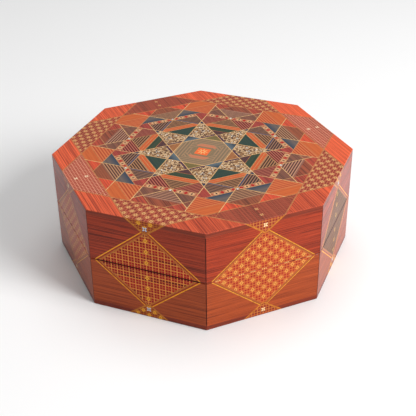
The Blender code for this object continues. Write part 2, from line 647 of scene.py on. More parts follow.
@dataclass(frozen=True)
class FlowerColumn(Veneer):
    """Small squares between thin lines, every second line brighter, and flowers up the middle."""

    line: Colour = tone(190, 115, 50)
    main_line: Colour = tone(225, 160, 85)
    line_strength: float = 0.9
    flower: Colour = tone(235, 175, 70)
    eye: Colour = tone(170, 90, 40)
    pitch: float = 2.6 * MM
    line_width: float = 0.95 * MM
    flower_from: float = 7.3 * MM
    flower_pitch: float = 10.3 * MM
    flower_to: float = 40.0 * MM
    radius: float = 2.0 * MM
    petals: float = 8.0

    def paint(self, w: Wiring) -> tuple[bpy.types.NodeSocket, Value]:
        """See Finish.paint."""
        wood, height = self.wood(w)
        place = w.add("ShaderNodeUVMap", uv_map=INLAY_MAP).outputs[0]
        lattice = w.call(
            EFFECTS.lattice(), Vector=place, Wide=self.pitch, High=self.pitch, Width=self.line_width
        )
        colour = w.mix(w.math("MULTIPLY", lattice["All"], self.line_strength), wood, self.line)
        colour = w.mix(w.math("MULTIPLY", lattice["Main"], self.line_strength), colour, self.main_line)
        x, y, _ = w.split(place)
        high = w.math("ABSOLUTE", y)
        near = w.math("PINGPONG", w.math("SUBTRACT", high, self.flower_from), self.flower_pitch / 2)
        flower = w.call(EFFECTS.flower(), X=x, Y=near, Radius=self.radius, Petals=self.petals, Turn=math.pi)
        mask = w.math("MULTIPLY", flower["Petals"], w.step(high, self.flower_to, 0.1 * MM))
        return w.mix(mask, colour, w.mix(flower["Eye"], self.flower, self.eye)), height


@dataclass(frozen=True)
class RimCheck(FlowerColumn):
    """The same at the lid's rim, with the grain of the lid."""

    run: Run = Run.ACROSS_LID
    pitch: float = 2.5 * MM
    flower_from: float = 104.7 * MM
    flower_pitch: float = 9.0 * MM
    flower_to: float = 116 * MM
    radius: float = 1.9 * MM
    petals: float = 4.0


@dataclass(frozen=True)
class Rope(Finish):
    """A border of golden and dark bars in turn."""

    light: Colour = tone(196, 115, 46)
    dark: Colour = tone(112, 52, 26)
    pitch: float = 1.2 * MM
    bar: float = 0.55 * MM
    strength: float = 0.7

    def paint(self, w: Wiring) -> tuple[bpy.types.NodeSocket, Value]:
        """See Finish.paint."""
        along = w.split(w.add("ShaderNodeUVMap", uv_map=INLAY_MAP).outputs[0])[0]
        bars = w.call(EFFECTS.lines(), Across=along, Pitch=self.pitch, Width=self.bar)["Mask"]
        return w.mix(w.math("MULTIPLY", bars, self.strength), self.light, self.dark), bars


CREAM_LINE = Stringing("cream_stringing", colour=tone(228, 186, 128), shade=tone(198, 148, 98))
GOLD_LINE = Stringing("gold_stringing", colour=tone(202, 150, 100), shade=tone(168, 116, 74))
DULL_LINE = Stringing("dull_stringing", colour=tone(192, 124, 78), shade=tone(160, 92, 58))
SHELL_DOT = Stringing("shell_dot", colour=tone(222, 218, 216), shade=tone(186, 186, 190))
# Padauk of the lid, with painted light and sheen drifting over it.
PADAUK = PaintedSheenVeneer("padauk_lid", light=tone(255, 113, 71), dark=tone(98, 33, 32))
RED_BAND = PlainGrain("padauk_band", light=tone(168, 88, 62), dark=tone(80, 46, 40))
RED_TILE = PlainGrain("red_tile", light=tone(198, 84, 62), dark=tone(96, 48, 42))
SCARLET_TILE = PlainGrain("scarlet_tile", light=tone(240, 94, 60), dark=tone(128, 54, 44))
BROWN_BAND = PlainGrain("brown_band", light=tone(168, 93, 64), dark=tone(89, 52, 43))
OLIVE = Veneer("olive", light=tone(124, 108, 66), dark=tone(90, 78, 52))
RUSSET = Veneer("russet", light=tone(166, 108, 68), dark=tone(120, 76, 50))
SLATE = ScorchedVeneer(
    "slate_blue", light=tone(104, 114, 118), dark=tone(78, 88, 96), shaded=tone(44, 56, 72),
    clear_at=24 * MM, shaded_at=32 * MM,
)
PLUM = Veneer("plum", light=tone(86, 56, 76), dark=tone(56, 34, 50))
INDIGO = Veneer("indigo", light=tone(50, 58, 86), dark=tone(34, 38, 62))
MOSAIC = ShellMosaic("shell_mosaic", relief=0.2)
GREEN = Veneer("bottle_green", light=tone(66, 78, 58), dark=tone(40, 51, 43))
TEAL = Veneer("sea_green", light=tone(58, 75, 63), dark=tone(36, 51, 52))
MAROON_CAP = Veneer("maroon_cap", light=tone(92, 60, 60), dark=tone(64, 44, 46))
ORANGE_STRIP = Veneer("orange_strip", light=tone(204, 98, 54), dark=tone(172, 74, 42))
BROWN_STRIPED = StripedVeneer(
    "brown_striped", light=tone(104, 69, 51), dark=tone(84, 56, 42), line=tone(190, 138, 98),
    shadow=tone(60, 40, 34),
)
MAROON_STRIPED = StripedVeneer(
    "maroon_striped", light=tone(136, 51, 47), dark=tone(110, 41, 40), line=tone(190, 120, 94),
    shadow=tone(80, 32, 35),
)
TAUPE_STRIPED = StripedVeneer(
    "taupe_striped", light=tone(86, 61, 56), dark=tone(68, 48, 46), line=tone(174, 126, 96),
    shadow=tone(52, 39, 42),
)
BLUE_STRIP = Veneer("blue_strip", light=tone(72, 76, 98), dark=tone(50, 54, 76))
RIBBON = Ribbon("ribbon")
RED_TRIANGLE = PlainGrain("red_triangle", light=tone(182, 74, 63), dark=tone(100, 51, 47))
DARK_BROWN = PlainGrain("dark_brown", light=tone(140, 90, 72), dark=tone(91, 62, 54))
DARK_MAROON = PlainGrain("dark_maroon", light=tone(156, 93, 72), dark=tone(100, 61, 52))
STORM_BLUE = ScorchedVeneer(
    "storm_blue", light=tone(112, 97, 90), dark=tone(88, 79, 78), shaded=tone(60, 69, 83),
    clear_at=80 * MM, shaded_at=74 * MM,
)
ORANGE_STRIPED = StripedVeneer(
    "orange_striped", light=tone(202, 98, 56), dark=tone(176, 80, 47), line=tone(210, 126, 78),
    shadow=tone(152, 62, 42), pitch=2.5 * MM, line_width=0.8 * MM, strength=0.7,
)
ORANGE_TILE = Veneer("orange_tile", light=tone(206, 106, 56), dark=tone(176, 80, 46))
TAUPE_A = StripedVeneer(
    "rose_taupe", light=tone(125, 82, 70), dark=tone(105, 69, 60), line=tone(204, 150, 118),
    shadow=tone(68, 46, 43), pitch=2.25 * MM, line_width=0.75 * MM, strength=0.8,
)
TAUPE_B = StripedVeneer(
    "sand_taupe", light=tone(126, 85, 67), dark=tone(104, 70, 55), line=tone(200, 148, 110),
    shadow=tone(68, 46, 40), pitch=2.25 * MM, line_width=0.75 * MM, strength=0.8,
)
MAUVE_STRIP = Veneer("mauve_strip", light=tone(145, 98, 82), dark=tone(121, 80, 69))
SAND_STRIP = Veneer("sand_strip", light=tone(142, 90, 70), dark=tone(118, 73, 56))
RIM_FLOWERS = FlowerField(
    "rim_flowers", light=tone(150, 50, 44), dark=tone(76, 32, 34), lattice=tone(184, 104, 72),
    flower=tone(230, 174, 112), eye=tone(120, 58, 46), run=Run.ACROSS_LID, shift=(0.0, 2.275 * MM),
    high=4.25 * MM, radius=2.3 * MM, line_width=0.65 * MM,
)
# Painted sheen: a pale, silvery copy of the rim's checks for the two quadrants where the lid's grain catches the
# light.
RIM_CHECK_SHEENED = RimCheck(
    "rim_check_pale", light=tone(176, 70, 52), dark=tone(116, 48, 40), line=tone(208, 136, 110),
    main_line=tone(212, 144, 116), line_width=0.6 * MM, flower=tone(240, 212, 176), eye=tone(150, 90, 60),
)
# The same checks without the painted sheen: darker and browner, for the other two quadrants.
RIM_CHECK_UNSHEENED = RimCheck(
    "rim_check_dark", light=tone(172, 78, 58), dark=tone(92, 48, 40), line=tone(172, 96, 68),
    main_line=tone(172, 96, 68), streaks=1400.0, stretch=0.006, contrast=1.0, line_width=0.4 * MM,
    line_strength=0.35, flower=tone(210, 154, 100), eye=tone(120, 64, 44),
)
CENTRE_BANDS = StripedVeneer(
    "centre_bands", light=tone(146, 120, 94), dark=tone(124, 106, 82), line=tone(178, 136, 102),
    shadow=tone(112, 100, 80), pitch=2.8 * MM, line_width=0.9 * MM, strength=0.55,
)
CENTRE_RING = Veneer("centre_ring", light=tone(144, 120, 90), dark=tone(120, 100, 76))
SALMON = Veneer("salmon", light=tone(198, 126, 93), dark=tone(174, 104, 77))
CENTRE_FLOWER = FlowerField(
    "centre_flower", light=tone(240, 110, 56), dark=tone(216, 90, 46), lattice=tone(240, 140, 84),
    wide=12 * MM, high=12 * MM, radius=4.6 * MM, flower=tone(238, 172, 106), eye=tone(236, 96, 48),
    shift=(6 * MM, 6 * MM), lattice_strength=0.25,
)
SIDE_WOOD = BoardGrain("padauk_side", light=tone(184, 66, 35), dark=tone(60, 17, 13), contrast=1.0)
# The base's boards: lighter and more orange than the lid's, partly a different wood and partly painted light
# bounced up from the floor.
LOWER_WOOD_AND_BOUNCE = BoardGrain("padauk_side_base", light=tone(184, 82, 38), dark=tone(88, 32, 19))
EDGE_BAND = BoardGrain("stained_edge", light=tone(146, 58, 34), dark=tone(78, 30, 24))
CORNER_LINE = BoardGrain("dark_corner", light=tone(96, 36, 28), dark=tone(60, 24, 20))
SQUARE_GOLD = Stringing("square_gold", colour=tone(244, 164, 34), shade=tone(212, 132, 26))
SLANTED_GOLD = Stringing("slanted_gold", colour=tone(218, 146, 48), shade=tone(186, 114, 36))
TRIANGLE_GOLD = Stringing("triangle_gold", colour=tone(194, 118, 40), shade=tone(162, 92, 32))
SIDE_GAP = BoardGrain("side_gap", light=tone(172, 62, 27), dark=tone(116, 38, 21))
SIDE_DARK = BoardGrain("side_dark_line", light=tone(116, 50, 28), dark=tone(80, 32, 22))
SIDE_ROPE = Rope("side_rope")
SIDE_BORDER = BoardGrain("side_border", light=tone(171, 89, 41), dark=tone(145, 71, 34), contrast=0.6)
SIDE_CHECK = FlowerColumn(
    "side_check", light=tone(182, 20, 30), dark=tone(44, 6, 14), line=tone(184, 96, 42), run=Run.BOARD,
    main_line=tone(220, 140, 62), flower=tone(242, 170, 54), eye=tone(130, 60, 26), contrast=1.0,
    line_width=0.74 * MM, radius=2.3 * MM, coat=0.3,
)
DUSKY_CHECK = replace(
    SIDE_CHECK, name="dusky_check", light=tone(108, 40, 34), dark=tone(50, 20, 20), line=tone(120, 86, 46),
    main_line=tone(140, 104, 58), flower=tone(206, 158, 74), eye=tone(120, 76, 40),
)
SIDE_FLOWERS = FlowerField(
    "side_flowers", light=tone(168, 38, 30), dark=tone(118, 24, 24), lattice=tone(190, 98, 42), run=Run.BOARD,
    line_width=0.8 * MM, high=4.8 * MM, flower=tone(220, 154, 70), eye=tone(150, 66, 34),
    shift=(0.0, -1.05 * MM), mirrored=True,
)
TRIANGLE_FLOWERS = AccentField(
    "triangle_flowers", light=tone(148, 50, 24), dark=tone(84, 28, 18), lattice=tone(186, 104, 30),
    run=Run.BOARD, line_width=0.5 * MM, high=3.8 * MM, radius=2.2 * MM, flower=tone(244, 172, 42),
    eye=tone(160, 88, 30), shift=(5.0 * MM, 0.4 * MM),
)
TRIANGLE_LATTICE = FlowerColumn(
    "triangle_lattice", light=tone(150, 46, 32), dark=tone(94, 30, 26), line=tone(180, 100, 44),
    run=Run.BOARD, main_line=tone(186, 110, 50), line_width=0.7 * MM, flower_from=40.6 * MM, flower_pitch=20 * MM,
    flower_to=46 * MM, radius=2.2 * MM, petals=4.0, flower=tone(238, 206, 154), eye=tone(150, 84, 50),
)
# Dirt and painted shade: the eased edges of the square sides at the seam, darkened where they face into the gap.
SEAM_DIRT_AND_SHADE = BoardGrain("seam_edge", light=tone(60, 22, 18), dark=tone(34, 14, 12))
# Inlay and painted highlight: the eased seam edge of a slanted side carries the field's flowers cut by the seam,
# on a pinkish red ground that paints the light the edge catches.
SEAM_GLINT = FlowerField(
    "seam_glint", light=tone(206, 84, 66), dark=tone(96, 26, 24), lattice=tone(196, 86, 60), run=Run.BOARD,
    streaks=60.0, stretch=0.7, wander=0.0, contrast=1.3, high=4.8 * MM, radius=2.9 * MM,
    flower=tone(236, 192, 118), shift=(0.0, -1.05 * MM), mirrored=True, lattice_strength=0.2, roughness=0.6,
    coat=0.0,
)
INSIDE_WOOD = Veneer(
    "inside_wood", light=tone(176, 112, 72), dark=tone(128, 74, 46), run=Run.BOARD, streaks=300.0,
    stretch=0.02, roughness=0.55, coat=0.15, coat_roughness=0.3,
)
INSIDE_PANEL = replace(INSIDE_WOOD, name="inside_panel", run=Run.ACROSS_LID)
UNDERSIDE_WOOD = Veneer(
    "underside_wood", light=tone(120, 62, 44), dark=tone(78, 40, 30), run=Run.ACROSS_LID, streaks=300.0,
    stretch=0.02, roughness=0.5, coat=0.2, coat_roughness=0.25,
)


# Modelling


@dataclass(frozen=True)
class Cut:
    """A flat cut: the plane's normal and its distance from the origin along it."""

    normal: tuple[float, float, float]
    distance: float

    @property
    def point(self) -> Vector:
        """A point on the plane."""
        return Vector(self.normal) * self.distance

    def turned(self, angle: float) -> "Cut":
        """Returns the cut turned about the box's middle."""
        return Cut(tuple(Matrix.Rotation(angle, 3, "Z") @ Vector(self.normal)), self.distance)


class Piece:
    """One mesh on the bench, with the operators that shape it."""

    MERGE_DISTANCE = 0.00001
    SHARP = math.radians(20)
    CUT_TOLERANCE = 0.000001

    def __init__(self, obj: bpy.types.Object) -> None:
        """Takes the object to work on."""
        self.obj = obj

    @staticmethod
    def clear_selection() -> None:
        """Leaves nothing selected, because operators act on all that is."""
        if bpy.context.object and bpy.context.object.mode != "OBJECT":
            bpy.ops.object.mode_set(mode="OBJECT")
        bpy.ops.object.select_all(action="DESELECT")

    @classmethod
    def from_primitive(cls, name: str) -> "Piece":
        """Takes up the primitive that was just added, with its place moved into its mesh."""
        obj = bpy.context.object
        obj.name = name
        obj.data.name = name
        bpy.ops.object.transform_apply(location=True, rotation=True, scale=True)
        return cls(obj)

    @classmethod
    def block(cls, name: str, low: Vector, high: Vector) -> "Piece":
        """Starts a piece from a box between two corners."""
        cls.clear_selection()
        bpy.ops.mesh.primitive_cube_add(size=1.0, location=(low + high) / 2, scale=high - low)
        return cls.from_primitive(name)

    @classmethod
    def prism(cls, name: str, radius: float, low: float, high: float) -> "Piece":
        """Starts a piece from an upright octagonal prism with its sides square to the axes."""
        cls.clear_selection()
        bpy.ops.mesh.primitive_cylinder_add(
            vertices=SIDES, radius=radius, depth=high - low, location=(0.0, 0.0, (low + high) / 2),
            rotation=(0.0, 0.0, TURN / 2),
        )
        return cls.from_primitive(name)

    def take_up(self) -> None:
        """Makes this the one selected piece."""
        self.clear_selection()
        self.obj.select_set(True)
        bpy.context.view_layer.objects.active = self.obj

    def cut(
        self,
        cuts: Iterable[Cut],
        chosen: Callable[[bmesh.types.BMFace], bool] = lambda face: True,
        trim: bool = False,
        fill: bool = False,
    ) -> None:
        """Cuts faces along planes.

        Args:
            cuts: the planes, one after the other.
            chosen: says which faces a plane cuts.
            trim: takes away what lies past each plane.
            fill: closes what trimming opens.
        """
        self.take_up()
        bpy.ops.object.mode_set(mode="EDIT")
        bpy.ops.mesh.select_mode(type="FACE")
        for cut in cuts:
            bpy.ops.mesh.select_all(action="DESELECT")
            shape = bmesh.from_edit_mesh(self.obj.data)
            shape.faces.ensure_lookup_table()
            for face in [face for face in shape.faces if chosen(face)]:
                face.select_set(True)
            bmesh.update_edit_mesh(self.obj.data)
            bpy.ops.mesh.bisect(
                plane_co=cut.point, plane_no=cut.normal, clear_outer=trim, use_fill=fill,
                threshold=self.CUT_TOLERANCE,
            )
        bpy.ops.object.mode_set(mode="OBJECT")

    def modify(self, kind: str, **settings: object) -> None:
        """Adds a modifier with its settings and applies it."""
        self.take_up()
        modifier = self.obj.modifiers.new(kind.lower(), kind)
        for name, value in settings.items():
            setattr(modifier, name, value)
        bpy.ops.object.modifier_apply(modifier=modifier.name)

    def ease_edges(self, width: float, chosen: Callable[[Vector], bool]) -> None:
        """Takes the sharp arris off some edges.

        Args:
            width: how far the eased edge reaches on each face.
            chosen: says for the middle of an edge whether it is eased.
        """
        self.take_up()
        bpy.ops.object.mode_set(mode="EDIT")
        bpy.ops.mesh.select_mode(type="EDGE")
        bpy.ops.mesh.select_all(action="DESELECT")
        shape = bmesh.from_edit_mesh(self.obj.data)
        for edge in shape.edges:
            middle = (edge.verts[0].co + edge.verts[1].co) / 2
            if edge.calc_face_angle(0.0) > self.SHARP and chosen(middle):
                edge.select_set(True)
        bmesh.update_edit_mesh(self.obj.data)
        bpy.ops.mesh.bevel(offset=width, segments=2, affect="EDGES")
        bpy.ops.object.mode_set(mode="OBJECT")

    def close_up(self) -> None:
        """Merges doubled points and points all faces outwards."""
        self.take_up()
        bpy.ops.object.mode_set(mode="EDIT")
        bpy.ops.mesh.select_all(action="SELECT")
        bpy.ops.mesh.remove_doubles(threshold=self.MERGE_DISTANCE)
        bpy.ops.mesh.normals_make_consistent(inside=False)
        bpy.ops.object.mode_set(mode="OBJECT")

    def copy(self, name: str) -> "Piece":
        """Returns a copy with its own mesh."""
        self.take_up()
        bpy.ops.object.duplicate(linked=False)
        obj = bpy.context.object
        obj.name = name
        obj.data.name = name
        return Piece(obj)

    def turn(self, angle: float) -> None:
        """Turns the piece about the box's middle, within its own mesh."""
        self.take_up()
        self.obj.rotation_euler = (0.0, 0.0, angle)
        bpy.ops.object.transform_apply(location=True, rotation=True, scale=True)

    def hand_over(self, node: str, slot: str) -> None:
        """Attaches the finished piece to the root body and hides the CAD node that it stands for."""
        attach(self.obj, "root")
        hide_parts(node)
        LOG.info("%s: %d faces, stands for %s", self.obj.name, len(self.obj.data.polygons), node)


class Way(Enum):
    """The four directions that the lid's straight lines are measured along, inside its first wedge."""

    A = (0.0, -1.0)
    B = (DIAGONAL, -DIAGONAL)
    C = (1.0, 0.0)
    D = (-DIAGONAL, -DIAGONAL)

    def at(self, distance: float) -> Cut:
        """Returns the upright plane at a distance from the middle."""
        return Cut((*self.value, 0.0), distance)


class Side(Enum):
    """The two kinds of side, in turn round the box: those square to the axes, and those between."""

    SQUARE = 0
    SLANTED = 1


@dataclass(frozen=True)
class Spot:
    """A point on the lid folded into the first wedge, with its distance from the middle in four ways."""

    a: float
    c: float
    turned: bool
    # pale: the point lies where x and y share a sign, in the two quadrants that get the painted sheen.
    pale: bool

    @classmethod
    def folded(cls, point: Vector) -> "Spot":
        """Folds a point of the box into the first wedge."""
        x, y = abs(point.x), abs(point.y)
        return cls(max(x, y), min(x, y), x > y, point.x * point.y > 0)

    @property
    def b(self) -> float:
        """Distance towards the slanted side."""
        return (self.a + self.c) * DIAGONAL

    @property
    def d(self) -> float:
        """Distance along the slanted side from its middle."""
        return (self.a - self.c) * DIAGONAL

    def along(self, way: Way) -> float:
        """Returns the distance in one of the four ways."""
        return {Way.A: self.a, Way.B: self.b, Way.C: self.c, Way.D: self.d}[way]

    def on_side(self) -> tuple[Side, float]:
        """Returns the kind of side that the point lies nearest, and its distance from that side's middle."""
        if self.a > self.b:
            return Side.SQUARE, self.c
        return Side.SLANTED, self.d


Rule = Callable[[Spot], bool]
Unfold = Callable[[Vector], tuple]


@dataclass(frozen=True)
class Line:
    """A gold line of the lid: where it lies, how wide it is, and how far it runs."""

    way: Way
    distance: float
    width: float
    finish: Finish
    runs: Rule = lambda spot: True

    def covers(self, spot: Spot) -> bool:
        """Says whether a point lies on the line."""
        return abs(spot.along(self.way) - self.distance) < self.width / 2 and self.runs(spot)


@dataclass(frozen=True)
class Tile:
    """A shape of the lid's design: its finish, the side that its lines follow, and the points it covers."""

    finish: Finish
    side: Side
    covers: Rule


@dataclass
class LidInlay:
    """The lid's design, worked out from the length of a side, for one wedge between two sides' middles."""

    side_length: float
    apothem: float
    star: float = 23.4 * MM
    strip: float = 5.8 * MM
    ribbon: float = 4.7 * MM
    blue_strip: float = 1.8 * MM
    plum_strip: float = 2.2 * MM
    pale_strip: float = 1.4 * MM
    cap: float = 41.4 * MM
    tip: float = 56.0 * MM
    square: float = 5.9 * MM
    ring: float = 9.6 * MM
    salmon_from: float = 8.6 * MM
    salmon: float = 13.4 * MM
    dot_place: float = 70.7 * MM
    dot_radius: float = 1.0 * MM
    main_width: float = 0.65 * MM
    fine_width: float = 0.5 * MM
    dull_width: float = 1.0 * MM
    corner_way: tuple[float, float] = (math.sin(TURN / 2), -math.cos(TURN / 2))
    lines: tuple[Line, ...] = field(init=False)
    tiles: tuple[Tile, ...] = field(init=False)

    def __post_init__(self) -> None:
        """Works out the design's lines and tiles."""
        self.outer = (self.apothem + self.side_length / 6) * DIAGONAL
        self.ring_3 = self.outer * 3 / 4
        self.ring_2 = self.outer / 2
        self.between = (self.ring_2 + self.ring_3) * DIAGONAL
        self.lines = self.lay_lines()
        self.tiles = self.lay_tiles()

    def lay_lines(self) -> tuple[Line, ...]:
        """Returns the gold lines, with the rule for how far each runs."""
        k1, k2, k3, k4, k35 = self.star, self.ring_2, self.ring_3, self.outer, self.between
        main, fine, dull = self.main_width, self.fine_width, self.dull_width
        past_kite: Rule = lambda s: s.d > k1 or s.c > k1
        strip_a: Rule = lambda s: s.d > k1 and s.b < k2
        strip_b: Rule = lambda s: s.c > k1 and s.a < k2
        return (
            Line(Way.A, k1, main, CREAM_LINE),
            Line(Way.B, k1, main, CREAM_LINE),
            Line(Way.C, k1, main, CREAM_LINE, lambda s: s.a < k4),
            Line(Way.D, k1, main, CREAM_LINE, lambda s: s.b < k3),
            Line(Way.A, k2, main, GOLD_LINE, past_kite),
            Line(Way.B, k2, main, GOLD_LINE, past_kite),
            Line(Way.A, k2 + self.strip / 2, fine, GOLD_LINE, strip_a),
            Line(Way.B, k2 + self.strip / 2, fine, GOLD_LINE, strip_b),
            Line(Way.A, k2 + self.strip, fine, GOLD_LINE, strip_a),
            Line(Way.B, k2 + self.strip, fine, GOLD_LINE, strip_b),
            Line(Way.C, k2, main, CREAM_LINE, lambda s: s.a > k2 and s.b < k4),
            Line(Way.C, k2, fine, DULL_LINE, lambda s: s.b >= k4 and s.a < k4),
            Line(Way.D, k2, main, CREAM_LINE, lambda s: s.c < k1 and s.b > k2),
            Line(Way.A, k3 - self.ribbon, fine, GOLD_LINE, lambda s: s.c < k1 and s.d < k2),
            Line(Way.B, k3 - self.ribbon, fine, GOLD_LINE, lambda s: s.d < k1 and s.c < k2),
            Line(Way.A, k3, fine, GOLD_LINE, lambda s: s.d < k2 and s.b < k4),
            Line(Way.B, k3, fine, GOLD_LINE, lambda s: s.c < k2 and not (s.a > k3 and s.c > k1) and s.a < k4),
            Line(Way.B, k35, fine, DULL_LINE, lambda s: k1 < s.c < k2 and k3 < s.a < k4),
            Line(Way.A, self.cap, fine, DULL_LINE, lambda s: s.b > k1 and s.d > k1),
            Line(Way.A, k4, dull, DULL_LINE),
            Line(Way.B, k4, dull, DULL_LINE),
        )

    def lay_tiles(self) -> tuple[Tile, ...]:
        """Returns the tiles in order: a point belongs to the first one that covers it."""
        k1, k2, k3, k4, k35 = self.star, self.ring_2, self.ring_3, self.outer, self.between
        sq, sl = Side.SQUARE, Side.SLANTED
        in_salmon: Rule = lambda s: self.salmon_from < s.a < self.salmon and s.b < self.salmon
        return (
            Tile(SHELL_DOT, sq, self.on_dot),
            Tile(CREAM_LINE, sq, lambda s: self.line_at(s) is CREAM_LINE),
            Tile(GOLD_LINE, sq, lambda s: self.line_at(s) is GOLD_LINE),
            Tile(DULL_LINE, sq, lambda s: self.line_at(s) is DULL_LINE),
            Tile(CENTRE_FLOWER, sq, lambda s: s.a < self.square),
            Tile(SALMON, sq, lambda s: in_salmon(s) and not s.turned),
            Tile(CENTRE_RING, sq, lambda s: s.a < self.ring and s.b < self.ring),
            Tile(CENTRE_BANDS, sq, lambda s: s.a < k1 and s.b < k1 and s.a > s.b),
            Tile(CENTRE_BANDS, sl, lambda s: s.a < k1 and s.b < k1),
            Tile(OLIVE, sq, lambda s: s.b < k1 and not s.turned),
            Tile(RUSSET, sq, lambda s: s.b < k1),
            Tile(SLATE, sl, lambda s: s.a < k1),
            Tile(PLUM, sl, lambda s: self.in_kite(s) and s.b < k1 + self.plum_strip),
            Tile(INDIGO, sq, lambda s: self.in_kite(s) and self.towards_corner(s) > self.tip),
            Tile(MOSAIC, sq, self.in_kite),
            Tile(MAROON_CAP, sq, lambda s: s.d > k1 and s.a < self.cap and s.c < k1),
            Tile(GREEN, sq, lambda s: s.d > k1 and s.a < k2 and s.c < k1),
            Tile(TEAL, sl, lambda s: s.c > k1 and s.b < k2),
            Tile(ORANGE_STRIP, sq, lambda s: s.a < k2 + self.strip and s.d > k1 and s.b < k2),
            Tile(ORANGE_STRIP, sl, lambda s: s.b < k2 + self.strip and s.c > k1 and s.a < k2),
            Tile(BROWN_STRIPED, sq, lambda s: s.b < k2 and s.a > k2),
            Tile(BROWN_STRIPED, sl, lambda s: s.a < k2 and s.b > k2),
            Tile(RIBBON, sq, lambda s: k3 - self.ribbon < s.a < k3 and s.c < k1 and s.d < k2),
            Tile(RIBBON, sl, lambda s: k3 - self.ribbon < s.b < k3 and s.d < k1 and s.c < k2),
            Tile(MAROON_STRIPED, sl, lambda s: k1 < s.d < k2 and s.c < k1 and s.a < k3),
            Tile(BLUE_STRIP, sq, lambda s: s.c > k1 and s.d < k1 and s.b < k3 and s.a < k2 + self.blue_strip),
            Tile(TAUPE_STRIPED, sq, lambda s: s.c > k1 and s.d < k1 and s.b < k3 and s.c < k2),
            Tile(RED_TRIANGLE, sq, lambda s: s.c > k1 and s.d > k1 and s.a < k3 and s.b < k3),
            Tile(DARK_BROWN, sq, lambda s: s.a > k3 and s.c < k1 and s.d < k2 and s.b < k3),
            Tile(DARK_MAROON, sq, lambda s: s.a > k3 and s.c < k1 and s.d < k2 and s.a < k4),
            Tile(STORM_BLUE, sl, lambda s: s.b > k3 and s.a < k3 and k1 < s.c < k2),
            Tile(ORANGE_STRIPED, sl, lambda s: s.a > k3 and k1 < s.c < k2 and s.b < k35),
            Tile(ORANGE_TILE, sl, lambda s: k35 < s.b < k4 and s.a < k4 and k1 < s.c < k2),
            Tile(TAUPE_A, sq, lambda s: s.d > k2 and s.b > k2 and s.a < k35 and s.b < k3),
            Tile(MAUVE_STRIP, sq, lambda s: s.d > k2 and s.a < k35 + self.pale_strip and s.b < k3),
            Tile(RED_BAND, sq, lambda s: s.d > k2 and s.a < k4 and s.b < k3),
            Tile(RED_TILE, sq, lambda s: s.b > k3 and s.d > k2 and s.a < k4 and s.c < k1),
            Tile(TAUPE_B, sl, lambda s: s.c > k2 and s.a > k2 and s.b < k35 and s.a < k3),
            Tile(SAND_STRIP, sl, lambda s: s.c > k2 and s.b < k35 + self.pale_strip and s.a < k3),
            Tile(BROWN_BAND, sl, lambda s: s.c > k2 and s.b < k4 and s.a < k3),
            Tile(SCARLET_TILE, sl, lambda s: s.a > k3 and s.c > k2 and s.b < k4),
            Tile(RIM_FLOWERS, sq, lambda s: s.a > k4 and s.b < k4),
            # Painted sheen: the rim's checks are pale in two quadrants and dark in the other two.
            Tile(RIM_CHECK_SHEENED, sl, lambda s: s.b > k4 and s.a < k4 and s.pale),
            Tile(RIM_CHECK_UNSHEENED, sl, lambda s: s.b > k4 and s.a < k4),
            Tile(PADAUK, sq, lambda s: True),
        )

    def line_at(self, spot: Spot) -> Finish | None:
        """Returns the finish of the first line that covers a point, if one does."""
        return next((line.finish for line in self.lines if line.covers(spot)), None)

    def on_dot(self, spot: Spot) -> bool:
        """Says whether a point lies on one of the two half dots of the wedge."""
        square = math.hypot(spot.c, spot.a - self.dot_place)
        slanted = math.hypot(spot.d, spot.b - self.dot_place)
        return min(square, slanted) < self.dot_radius

    def towards_corner(self, spot: Spot) -> float:
        """Returns the distance from the middle towards the wedge's corner."""
        return spot.c * self.corner_way[0] - spot.a * self.corner_way[1]

    def in_kite(self, spot: Spot) -> bool:
        """Says whether a point lies in the kite of the star."""
        return max(spot.c, spot.d) < self.star < min(spot.a, spot.b)

    def joints(self) -> list[Cut]:
        """Returns the planes of every joint between the design's tiles."""
        k2, k35 = self.ring_2, self.between
        cuts = []
        for way, distance, width in sorted({(n.way, n.distance, n.width) for n in self.lines}, key=str):
            cuts += [way.at(distance - width / 2), way.at(distance + width / 2)]
        for distance in (self.square, self.salmon_from, self.ring, self.salmon, k2 + self.blue_strip, k35):
            cuts.append(Way.A.at(distance))
        for distance in (self.ring, self.salmon, self.star + self.plum_strip, k35, k35 + self.pale_strip):
            cuts.append(Way.B.at(distance))
        cuts.append(Way.A.at(k35 + self.pale_strip))
        cuts.append(Cut((*self.corner_way, 0.0), self.tip))
        return cuts

    def dots(self) -> list[tuple[Vector, list[Cut]]]:
        """Returns the middle of each half dot, with the planes round it."""
        found = []
        for way in (Way.A, Way.B):
            middle = Vector((*way.value, 0.0)) * self.dot_place
            planes = []
            for step in range(SIDES):
                normal = Vector((math.cos(step * TURN + TURN / 2), math.sin(step * TURN + TURN / 2), 0.0))
                planes.append(Cut(tuple(normal), normal.dot(middle) + self.dot_radius * math.cos(TURN / 2)))
            found.append((middle, planes))
        return found


